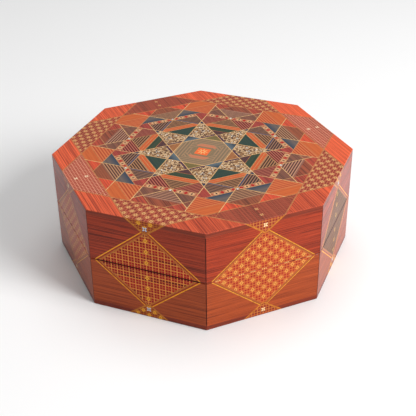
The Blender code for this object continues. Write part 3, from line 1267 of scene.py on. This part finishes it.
@dataclass
class SideInlay:
    """The design of a side: a board and the panel edge above or below it. Heights are from the seam."""

    side_length: float
    half_height: float
    crossing: float = 33.3 * MM
    reach: float = 40.4 * MM
    rope_from: float = 0.3 * MM
    border_from: float = 1.0 * MM
    rope_to: float = 1.6 * MM
    dark_from: float = 2.5 * MM
    line_from: float = 2.9 * MM
    line_to: float = 3.75 * MM
    triangle_half: float = 0.65 * MM
    corner_line: float = 0.4 * MM

    def slopes(self) -> tuple[Vector, Vector]:
        """Returns the outward normals, in (along, height), of the diamond's edge and of the triangle's."""
        diamond = Vector((1 / self.reach, 1 / self.crossing)).normalized()
        rise = (self.half_height - self.crossing) / (self.side_length / 6)
        triangle = Vector((rise, -1.0)).normalized()
        return diamond, triangle

    def distances(self, along: float, height: float) -> tuple[float, float]:
        """Returns how far a point lies outside the diamond's edge and outside the triangle's edge."""
        diamond, triangle = self.slopes()
        place = Vector((abs(along), abs(height)))
        top = Vector((0.0, self.crossing))
        return diamond.dot(place - top), triangle.dot(place - top)

    def finish_at(self, side: Side, along: float, height: float, on_panel: bool) -> Finish:
        """Returns the finish of a point of a side.

        Args:
            side: the kind of side.
            along: distance from the side's middle.
            height: height above the seam, negative below it.
            on_panel: whether the point is on the edge of the flat board.

        Returns:
            The finish.
        """
        outside, beyond = self.distances(along, height)
        square = side is Side.SQUARE
        if abs(height) > self.crossing and abs(beyond) < self.triangle_half:
            return TRIANGLE_GOLD
        if beyond < 0 and outside > self.rope_to:
            return TRIANGLE_FLOWERS if square else TRIANGLE_LATTICE
        if outside < self.line_from:
            return self.square_field(outside) if square else self.slanted_field(outside)
        if outside < self.line_to:
            return SQUARE_GOLD if square else SLANTED_GOLD
        if on_panel:
            return EDGE_BAND
        if abs(along) > self.side_length / 2 - self.corner_line:
            return CORNER_LINE
        return SIDE_WOOD if height > 0 else LOWER_WOOD_AND_BOUNCE

    def square_field(self, outside: float) -> Finish:
        """Returns the finish inside the gold line of a square side: checks, a rope and a dark gap."""
        if outside < self.rope_from:
            return SIDE_CHECK
        return SIDE_ROPE if outside < self.rope_to else SIDE_GAP

    def slanted_field(self, outside: float) -> Finish:
        """Returns the finish inside the gold line of a slanted side: flowers, an edge and a dark line."""
        if outside < self.border_from:
            return SIDE_FLOWERS
        return SIDE_BORDER if outside < self.dark_from else SIDE_DARK

    @property
    def seam_reach(self) -> float:
        """Distance along the seam from the side's middle to the inside of the gold line."""
        diamond, _ = self.slopes()
        return (self.line_from + diamond.y * self.crossing) / diamond.x

    def joints(self, seam: float) -> list[Cut]:
        """Returns the planes of the joints, for a side that faces -Y.

        Args:
            seam: the seam's height in the box.

        Returns:
            The planes.
        """
        diamond, triangle = self.slopes()
        rings = (self.rope_from, self.border_from, self.rope_to, self.dark_from, self.line_from, self.line_to)
        cuts = []
        for normal, offsets in ((diamond, rings), (triangle, (-self.triangle_half, self.triangle_half))):
            for left_right in (-1, 1):
                for up_down in (-1, 1):
                    across = Vector((normal.x * left_right, 0.0, normal.y * up_down))
                    middle = Vector((0.0, 0.0, seam + up_down * self.crossing))
                    for offset in offsets:
                        cuts.append(Cut(tuple(across), across.dot(middle) + offset))
        for left_right in (-1.0, 1.0):
            cuts.append(Cut((left_right, 0.0, 0.0), self.side_length / 2 - self.corner_line))
        return cuts


EDGE_FINISHES = (
    SQUARE_GOLD, SLANTED_GOLD, TRIANGLE_GOLD, SIDE_ROPE, SIDE_GAP, SIDE_DARK, SIDE_BORDER, SIDE_CHECK,
    SIDE_FLOWERS, TRIANGLE_FLOWERS, TRIANGLE_LATTICE,
)


# The box


@dataclass(frozen=True)
class BoxSizes:
    """The box's sizes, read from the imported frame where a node's box gives them."""

    apothem: float
    seam_low: float
    seam_high: float
    lid_top: float
    wall: float
    lip_top: float
    panel_low: float
    panel_high: float
    lip: float = 3.5 * MM
    lip_side_clearance: float = 0.5 * MM
    lip_top_clearance: float = 1.0 * MM
    arris: float = 0.4 * MM
    glue_line: float = 0.3 * MM
    tight_joint: float = 0.02 * MM
    SEAM_GAP = 0.3 * MM

    @classmethod
    def from_frame(cls) -> "BoxSizes":
        """Reads the sizes from the frame's nodes."""
        lid_low, lid_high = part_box("lid_panel")
        base_low, base_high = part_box("base_panel")
        upper_low, upper_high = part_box("lid_wall_1")
        lip_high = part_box("base_wall_1")[1]
        return cls(
            apothem=-lid_low.y,
            seam_low=upper_low.z - cls.SEAM_GAP,
            seam_high=upper_low.z,
            lid_top=lid_high.z,
            wall=upper_high.y - upper_low.y,
            lip_top=lip_high.z,
            panel_low=base_high.z,
            panel_high=lid_low.z,
        )

    @property
    def side_length(self) -> float:
        """Length of a side."""
        return 2 * self.apothem * math.tan(TURN / 2)

    @property
    def corner_radius(self) -> float:
        """Distance from the middle to a corner."""
        return self.apothem / math.cos(TURN / 2)

    @property
    def seam(self) -> float:
        """Height of the middle of the seam."""
        return (self.seam_low + self.seam_high) / 2


def dress(piece: Piece, finishes: list[Finish], choose: Callable[[bpy.types.MeshPolygon], int]) -> None:
    """Gives each face of a piece its finish.

    Args:
        piece: the piece.
        finishes: the finishes, one for each material slot.
        choose: returns the number of a face's finish.
    """
    mesh = piece.obj.data
    mesh.materials.clear()
    for finish in finishes:
        mesh.materials.append(finish.material())
    for face in mesh.polygons:
        face.material_index = choose(face)


def lay_map(piece: Piece, name: str, place: Callable[[bpy.types.MeshPolygon], Unfold]) -> None:
    """Writes a UV map in metres, worked out from the place of each corner of each face.

    Args:
        piece: the piece.
        name: the map's name.
        place: returns, for a face, the function that turns a point of it into map coordinates.
    """
    mesh = piece.obj.data
    layer = mesh.uv_layers.get(name) or mesh.uv_layers.new(name=name)
    for face in mesh.polygons:
        turn = place(face)
        for corner in face.loop_indices:
            layer.data[corner].uv = turn(mesh.vertices[mesh.loops[corner].vertex_index].co)


def side_number(face: bpy.types.MeshPolygon) -> int:
    """Returns which side a face lies on, counted round from the one that faces -Y."""
    return round(math.atan2(face.center.x, -face.center.y) / TURN)


def along_side(face: bpy.types.MeshPolygon, seam: float) -> Unfold:
    """Returns the function that gives a point's distance along its side, and its height over the seam."""
    number = side_number(face)
    way = Vector((math.cos(number * TURN), math.sin(number * TURN), 0.0))
    return lambda point: (way.dot(point), point.z - seam)


@dataclass
class LidPanel:
    """The lid's top board with its star, modelled as one wedge and mirrored round."""

    sizes: BoxSizes
    inlay: LidInlay
    edge: SideInlay
    TOP_FACING = 0.3
    SIDE_FACING = 0.5
    TOP_SHARE = 0.87
    UNDERSIDE_SHARE = 0.10
    BAKE_MARGIN = 0.008
    EDGE_ROW = 0.024
    DOT_REACH = 8

    def build(self) -> Piece:
        """Returns the finished board."""
        piece = self.wedge()
        self.cut_design(piece)
        self.mirror_round(piece)
        self.finish(piece)
        piece.hand_over("lid_panel", "lid_inlay")
        return piece

    def wedge(self) -> Piece:
        """Returns the wedge between the middles of side 1 and side 2, open where it is mirrored."""
        sizes = self.sizes
        piece = Piece.prism("lid_panel_veneered", sizes.corner_radius, sizes.panel_high, sizes.lid_top)
        middle = (sizes.panel_high + sizes.lid_top) / 2
        piece.ease_edges(sizes.arris, lambda place: place.z > middle - sizes.arris)
        piece.cut([Cut((-1.0, 0.0, 0.0), 0.0), Cut((DIAGONAL, DIAGONAL, 0.0), 0.0)], trim=True)
        return piece

    def cut_design(self, piece: Piece) -> None:
        """Cuts the design's joints into the wedge's top and edge."""
        piece.cut(self.inlay.joints(), self.on_top)
        half = 2 * self.inlay.dot_radius
        for middle, planes in self.inlay.dots():
            frame = [Way.A, Way.C] if middle.x == 0 else [Way.B, Way.D]
            places = [(way, Vector((*way.value, 0.0)).dot(middle)) for way in frame]
            across = [way.at(place + end * half) for way, place in places for end in (-1, 1)]
            wide = self.DOT_REACH * half
            piece.cut(across, lambda face: self.on_top(face) and self.near(face, middle, wide))
            piece.cut(planes, lambda face: self.on_top(face) and self.near(face, middle, half))
        for cut in self.edge.joints(self.sizes.seam):
            piece.cut([cut], lambda face: face.normal.y < -SQUARE_ON)
            piece.cut([cut.turned(TURN)], self.on_second_side)

    @classmethod
    def on_top(cls, face: bmesh.types.BMFace) -> bool:
        """Says whether a face is part of the top or of its eased edge."""
        return face.normal.z > cls.TOP_FACING

    @staticmethod
    def near(face: bmesh.types.BMFace, middle: Vector, reach: float) -> bool:
        """Says whether a face's middle lies in a square round a point."""
        away = face.calc_center_median() - middle
        return math.hypot(away.x, away.y) < reach * math.sqrt(2)

    @classmethod
    def on_second_side(cls, face: bmesh.types.BMFace) -> bool:
        """Says whether a face of the wedge looks out of side 2."""
        return face.normal.x > cls.SIDE_FACING and face.normal.y < -cls.SIDE_FACING

    def mirror_round(self, piece: Piece) -> None:
        """Mirrors the wedge at its slanted face, then at the two upright planes of the box."""
        guide = bpy.data.objects.new("mirror_guide", None)
        bpy.context.scene.collection.objects.link(guide)
        guide.rotation_euler = (0.0, 0.0, math.radians(45))
        bpy.context.view_layer.update()
        merge = Piece.MERGE_DISTANCE
        piece.modify("MIRROR", use_axis=(True, False, False), mirror_object=guide, merge_threshold=merge)
        piece.modify("MIRROR", use_axis=(True, True, False), merge_threshold=merge)
        bpy.data.objects.remove(guide, do_unlink=True)
        piece.close_up()

    def finish(self, piece: Piece) -> None:
        """Dresses the board's faces and lays the map that patterns follow."""
        tiles = self.inlay.tiles
        tops = [tile.finish for tile in tiles]
        others = [*EDGE_FINISHES, EDGE_BAND, INSIDE_PANEL]

        def choose(face: bpy.types.MeshPolygon) -> int:
            spot = Spot.folded(face.center)
            if face.normal.z > self.TOP_FACING:
                return next(number for number, tile in enumerate(tiles) if tile.covers(spot))
            if face.normal.z < -self.SIDE_FACING:
                return len(tops) + others.index(INSIDE_PANEL)
            found = self.edge.finish_at(*spot.on_side(), face.center.z - self.sizes.seam, True)
            return len(tops) + others.index(found)

        dress(piece, [*tops, *others], choose)
        lay_map(piece, INLAY_MAP, lambda face: self.map_for(face, tiles))
        lay_map(piece, GRAIN_MAP, lambda face: along_side(face, self.sizes.seam))
        lay_map(piece, BAKE_MAP, self.bake_place)

    def bake_place(self, face: bpy.types.MeshPolygon) -> Unfold:
        """Returns the function that places a point on the baked image: most of it goes to the inlaid top.

        Args:
            face: the face.

        Returns:
            The function. The top fills one corner of the image, the edges lie in rows beside it, and the
            plain underside is small.
        """
        sizes = self.sizes
        share = self.TOP_SHARE / (2 * sizes.apothem)
        if face.normal.z > self.TOP_FACING:
            return lambda point: (
                self.BAKE_MARGIN + (point.x + sizes.apothem) * share,
                self.BAKE_MARGIN + (point.y + sizes.apothem) * share,
            )
        if face.normal.z < -self.SIDE_FACING:
            small = self.UNDERSIDE_SHARE / (2 * sizes.apothem)
            return lambda point: (
                self.TOP_SHARE + 2 * self.BAKE_MARGIN + (point.x + sizes.apothem) * small,
                self.BAKE_MARGIN + (point.y + sizes.apothem) * small,
            )
        number = side_number(face) % SIDES
        left = self.BAKE_MARGIN + (number % 2 + 0.5) * self.TOP_SHARE / 2
        low = self.TOP_SHARE + 2 * self.BAKE_MARGIN + (number // 2) * self.EDGE_ROW
        flat = along_side(face, sizes.panel_high)
        return lambda point: (left + flat(point)[0] * share, low + flat(point)[1] * share)

    def map_for(self, face: bpy.types.MeshPolygon, tiles: tuple[Tile, ...]) -> Unfold:
        """Returns the function that turns a point of a face into inlay coordinates.

        Args:
            face: the face.
            tiles: the tiles, in the order of the material slots.

        Returns:
            The function. It gives the distance along the tile's side and the distance across it.
        """
        if face.material_index >= len(tiles):
            return along_side(face, self.sizes.seam)
        turned = Spot.folded(face.center).turned
        signs = (math.copysign(1.0, face.center.x), math.copysign(1.0, face.center.y))
        side = tiles[face.material_index].side

        def turn(point: Vector) -> tuple[float, float]:
            x, y = point.x * signs[0], point.y * signs[1]
            c, a = (y, x) if turned else (x, y)
            if side is Side.SQUARE:
                return c, a
            return (a - c) * DIAGONAL, (a + c) * DIAGONAL

        return turn


@dataclass
class Rims:
    """The sixteen mitred boards: each kind is modelled once, facing -Y, and copied round."""

    sizes: BoxSizes
    inlay: SideInlay
    OVER = 10 * MM

    def build(self) -> list[Piece]:
        """Returns the finished boards."""
        pieces = []
        for level, first in (("lid", self.lid_board()), ("base", self.base_board())):
            first.cut(self.inlay.joints(self.sizes.seam), lambda face: face.normal.y < -SQUARE_ON)
            reach = self.inlay.seam_reach
            ends = [Cut((1.0, 0.0, 0.0), reach), Cut((-1.0, 0.0, 0.0), reach)]
            first.cut(ends, lambda face: -SQUARE_ON < face.normal.y < -TURNED_OUT)
            first.close_up()
            for number in range(SIDES):
                piece = first.copy(f"{level}_board_{number + 1}")
                self.finish(piece, Side(number % 2), number)
                piece.turn(number * TURN)
                piece.hand_over(f"{level}_wall_{number + 1}", "side_inlay")
                pieces.append(piece)
            bpy.data.objects.remove(first.obj, do_unlink=True)
        return pieces

    def blank(self, name: str, foot: float, top: float, strip: tuple[float, float, float, float]) -> Piece:
        """Returns a mitred board with a strip cut out along its whole length.

        Args:
            name: the board's name.
            foot: height of its underside.
            top: height of its upper side.
            strip: the strip's depths from the outer face, then its heights.

        Returns:
            The board.
        """
        sizes = self.sizes
        half = sizes.side_length / 2 + self.OVER
        outer = -sizes.apothem
        piece = Piece.block(name, Vector((-half, outer, foot)), Vector((half, outer + sizes.wall, top)))
        mitres = []
        for end in (-1, 1):
            normal = Vector((end * math.cos(TURN / 2), math.sin(TURN / 2), 0.0))
            mitres.append(Cut(tuple(normal), -sizes.glue_line / 2))
        piece.cut(mitres, trim=True, fill=True)
        depth_from, depth_to, low, high = strip
        cutter = Piece.block(
            "cutter",
            Vector((-half - self.OVER, outer + depth_from, low)),
            Vector((half + self.OVER, outer + depth_to, high)),
        )
        piece.modify("BOOLEAN", operation="DIFFERENCE", solver="EXACT", object=cutter.obj)
        bpy.data.objects.remove(cutter.obj, do_unlink=True)
        inner = outer + sizes.wall - sizes.arris
        piece.ease_edges(
            sizes.arris,
            lambda place: abs(place.z - sizes.seam) < sizes.arris
            or abs(place.z - sizes.lip_top) < 2 * sizes.lip_top_clearance
            or (place.y > inner and foot < place.z < top and abs(place.x) < MM),
        )
        return piece

    def lid_board(self) -> Piece:
        """Returns a board of the lid, with the rebate inside its lower edge."""
        sizes = self.sizes
        rebate = (
            sizes.wall - sizes.lip - sizes.lip_side_clearance,
            sizes.wall + self.OVER,
            sizes.seam_high - self.OVER,
            sizes.lip_top + sizes.lip_top_clearance,
        )
        return self.blank("lid_board", sizes.seam_high, sizes.panel_high - sizes.tight_joint, rebate)

    def base_board(self) -> Piece:
        """Returns a board of the base, with the lip along its inner side."""
        sizes = self.sizes
        shoulder = (-self.OVER, sizes.wall - sizes.lip, sizes.seam_low, sizes.lip_top + self.OVER)
        return self.blank("base_board", sizes.panel_low + sizes.tight_joint, sizes.lip_top, shoulder)

    def finish(self, piece: Piece, side: Side, number: int) -> None:
        """Dresses a board while it still faces -Y, and lays its maps. Every second check is duller."""
        sizes, inlay = self.sizes, self.inlay
        finishes = [*EDGE_FINISHES, SIDE_WOOD, LOWER_WOOD_AND_BOUNCE, CORNER_LINE, SEAM_DIRT_AND_SHADE, SEAM_GLINT, INSIDE_WOOD]
        slots = [DUSKY_CHECK if number % 4 == 2 and finish is SIDE_CHECK else finish for finish in finishes]

        def choose(face: bpy.types.MeshPolygon) -> int:
            if face.center.y > -sizes.apothem + sizes.arris:
                return finishes.index(INSIDE_WOOD)
            if face.normal.y > -SQUARE_ON:
                if abs(face.center.x) > inlay.seam_reach:
                    return finishes.index(SIDE_GAP)
                # Inside the diamond: dirt and painted shade on a square side, and the cut flowers with a painted
                # highlight on a slanted one.
                return finishes.index(SEAM_DIRT_AND_SHADE if side is Side.SQUARE else SEAM_GLINT)
            return finishes.index(inlay.finish_at(side, face.center.x, face.center.z - sizes.seam, False))

        dress(piece, slots, choose)
        offset = number * sizes.side_length
        lay_map(piece, INLAY_MAP, lambda face: lambda point: (point.x, point.z - sizes.seam))
        lay_map(piece, GRAIN_MAP, lambda face: lambda point: (point.x + offset, point.z + point.y))


@dataclass
class BasePanel:
    """The base's bottom board."""

    sizes: BoxSizes
    edge: SideInlay

    def build(self) -> Piece:
        """Returns the finished board."""
        sizes = self.sizes
        piece = Piece.prism("base_panel_stained", sizes.corner_radius, 0.0, sizes.panel_low)
        middle = sizes.panel_low / 2
        piece.ease_edges(sizes.arris, lambda place: place.z < middle + sizes.arris)
        for number in range(SIDES):
            facing = Vector((math.sin(number * TURN), -math.cos(number * TURN), 0.0))
            for cut in self.edge.joints(sizes.seam):
                piece.cut([cut.turned(number * TURN)], lambda face: face.normal.dot(facing) > SQUARE_ON)
        piece.close_up()
        self.finish(piece)
        piece.hand_over("base_panel", "base_board")
        return piece

    def finish(self, piece: Piece) -> None:
        """Dresses the board's faces and lays its maps."""
        finishes = [*EDGE_FINISHES, EDGE_BAND, INSIDE_PANEL, UNDERSIDE_WOOD]

        def choose(face: bpy.types.MeshPolygon) -> int:
            if abs(face.normal.z) > 0.5:
                return finishes.index(INSIDE_PANEL if face.normal.z > 0 else UNDERSIDE_WOOD)
            spot = Spot.folded(face.center)
            found = self.edge.finish_at(*spot.on_side(), face.center.z - self.sizes.seam, True)
            return finishes.index(found)

        dress(piece, finishes, choose)
        lay_map(piece, INLAY_MAP, lambda face: along_side(face, self.sizes.seam))
        lay_map(piece, GRAIN_MAP, lambda face: along_side(face, self.sizes.seam))


# The studio


@dataclass(frozen=True)
class Lamp:
    """A square soft light: its name, where it hangs, the length of its side and its power in watts."""

    name: str
    place: tuple[float, float, float]
    size: float
    power: float


@dataclass(frozen=True)
class Studio:
    """Plain floor, soft light and a camera at the photograph's angle."""

    azimuth: float = math.radians(21.64)
    elevation: float = math.radians(31.50)
    roll: float = math.radians(-0.632)
    target: tuple[float, float, float] = (0.0108, -0.0163, 0.0457)
    distance: float = 0.7568
    lens: float = 74.76
    floor_size: float = 12.0
    floor_drop: float = 0.2 * MM
    floor_tone: Colour = (0.90, 0.90, 0.90, 1.0)
    floor_roughness: float = 0.8
    surround: float = 0.26
    aim: tuple[float, float, float] = (0.0, 0.0, 0.05)
    lamps: tuple[Lamp, ...] = (
        Lamp("key", (1.80, -0.36, 1.20), 1.0, 52.0),
        Lamp("top", (-0.2, 0.5, 1.9), 1.6, 16.0),
    )

    def build(self) -> None:
        """Adds the floor, the light and the camera."""
        self.add_floor()
        self.add_light()
        self.add_camera()

    def add_floor(self) -> None:
        """Adds the pale floor, just under the box."""
        Piece.clear_selection()
        bpy.ops.mesh.primitive_plane_add(size=self.floor_size, location=(0.0, 0.0, -self.floor_drop))
        floor = bpy.context.object
        floor.name = "floor"
        material = bpy.data.materials.new("pale_floor")
        material.use_nodes = True
        shader = material.node_tree.nodes["Principled BSDF"]
        shader.inputs["Base Color"].default_value = self.floor_tone
        shader.inputs["Roughness"].default_value = self.floor_roughness
        floor.data.materials.append(material)

    def add_light(self) -> None:
        """Adds an even pale surround, a large soft light from the right and a smaller one from above."""
        world = bpy.data.worlds.new("studio")
        bpy.context.scene.world = world
        world.use_nodes = True
        background = world.node_tree.nodes["Background"]
        background.inputs["Color"].default_value = (1.0, 1.0, 1.0, 1.0)
        background.inputs["Strength"].default_value = self.surround
        for lamp in self.lamps:
            self.add_lamp(lamp)
        bpy.context.scene.view_settings.view_transform = "Standard"

    def add_lamp(self, lamp: Lamp) -> None:
        """Hangs a lamp so that it looks at the box.

        Args:
            lamp: the lamp.
        """
        data = bpy.data.lights.new(lamp.name, "AREA")
        data.size = lamp.size
        data.energy = lamp.power
        hung = bpy.data.objects.new(lamp.name, data)
        hung.location = lamp.place
        hung.rotation_euler = (Vector(self.aim) - Vector(lamp.place)).to_track_quat("-Z", "Y").to_euler()
        bpy.context.scene.collection.objects.link(hung)

    def add_camera(self) -> None:
        """Adds the camera and makes it the scene's."""
        level = math.cos(self.elevation)
        across = math.sin(self.azimuth) * level
        depth = -math.cos(self.azimuth) * level
        back = Vector((across, depth, math.sin(self.elevation)))
        right = (-back).cross(Vector((0.0, 0.0, 1.0))).normalized()
        up = back.cross(right)
        turned_right = right * math.cos(self.roll) + up * math.sin(self.roll)
        turned_up = up * math.cos(self.roll) - right * math.sin(self.roll)
        data = bpy.data.cameras.new("camera")
        data.lens = self.lens
        data.clip_start = 0.01
        camera = bpy.data.objects.new("camera", data)
        matrix = Matrix((turned_right, turned_up, back)).transposed().to_4x4()
        matrix.translation = Vector(self.target) + back * self.distance
        camera.matrix_world = matrix
        bpy.context.scene.collection.objects.link(camera)
        bpy.context.scene.camera = camera


def write_sizes() -> None:
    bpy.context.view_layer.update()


def main() -> None:
    """Builds the box's looks and its studio."""
    logging.basicConfig(level=logging.INFO, format="%(name)s %(message)s")
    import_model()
    sizes = BoxSizes.from_frame()
    lid_inlay = LidInlay(sizes.side_length, sizes.apothem)
    side_inlay = SideInlay(sizes.side_length, sizes.lid_top - sizes.seam)
    Studio().build()
    LidPanel(sizes, lid_inlay, side_inlay).build()
    boards = Rims(sizes, side_inlay).build()
    BasePanel(sizes, side_inlay).build()
    LOG.info("%d rim boards in place", len(boards))
    write_sizes()


if __name__ == "__main__":
    main()
